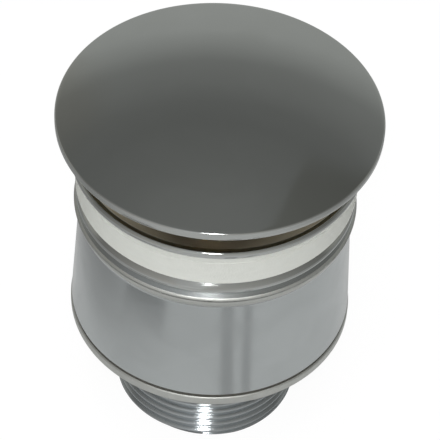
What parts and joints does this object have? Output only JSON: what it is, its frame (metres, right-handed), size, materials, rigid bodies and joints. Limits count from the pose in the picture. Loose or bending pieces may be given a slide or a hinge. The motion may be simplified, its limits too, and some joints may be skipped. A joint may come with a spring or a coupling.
{
  "type": "basin waste",
  "caption": "Free-flow basin waste: mushroom cap over an open dished flange, white gaskets, flared bell cover over a backnut, and a threaded tail.",
  "frame": {"origin": "on the axis at the tail's lower end, which is the bottom centre of the whole part", "axes": "+Z along the axis from the tail to the cap, +X and +Y along two of the strainer's arms"},
  "size_m": [0.0704, 0.0704, 0.0903],
  "materials": {
    "chrome": "bright chrome plate on brass",
    "brass": "plain turned brass",
    "steel": "stainless, as machined",
    "white_rubber": "white moulded rubber, matt, fine grain",
    "nylon": "natural nylon",
    "fibre": "red vulcanised fibre",
    "black_rubber": "black nitrile"
  },
  "bodies": {
    "body": {"waste_body": "chrome", "upper_gasket": "white_rubber"},
    "strainer": {"strainer_cross": "brass", "strainer_o_ring": "black_rubber"},
    "cap_carrier": {"cap_washer": "nylon"},
    "cap": {"dome_cap": "chrome", "cap_boss": "brass", "cap_post": "steel"},
    "lock_carrier": {"lock_washer": "steel"},
    "lock_nut": {"lock_nut": "steel"},
    "clamp_stack": {"lower_gasket": "white_rubber", "pressure_ring": "chrome", "bell_cover": "chrome", "fibre_washer": "fibre"},
    "backnut": {"backnut": "brass"}
  },
  "joints": [
    {"name": "strainer_lift", "type": "slide", "parent": "body", "child": "strainer", "axis": [0, 0, 1], "range_m": [0, 0.03]},
    {"name": "cap_height", "type": "slide", "parent": "strainer", "child": "cap_carrier", "axis": [0, 0, 1], "range_m": [-0.003, 0.006]},
    {"name": "cap_turn", "type": "hinge", "parent": "cap_carrier", "child": "cap", "pos_m": [0, 0, 0.08], "axis": [0, 0, 1], "range_deg": [-864, 1728]},
    {"name": "lock_nut_height", "type": "slide", "parent": "strainer", "child": "lock_carrier", "axis": [0, 0, 1], "range_m": [0, 0.0025]},
    {"name": "lock_nut_turn", "type": "hinge", "parent": "lock_carrier", "child": "lock_nut", "pos_m": [0, 0, 0.072], "axis": [0, 0, 1], "range_deg": [0, 720]},
    {"name": "clamp_travel", "type": "slide", "parent": "body", "child": "clamp_stack", "axis": [0, 0, 1], "range_m": [-0.02, 0]},
    {"name": "backnut_turn", "type": "hinge", "parent": "clamp_stack", "child": "backnut", "pos_m": [0, 0, 0.0549], "axis": [0, 0, 1], "range_deg": [-3119, 0]}
  ],
  "couplings": [
    {"joint": "cap_height", "follows": "cap_turn", "m_per_rad": 0.00019894},
    {"joint": "lock_nut_height", "follows": "lock_nut_turn", "m_per_rad": 0.00019894},
    {"joint": "backnut_turn", "follows": "clamp_travel", "rad_per_m": 2721.2}
  ]
}
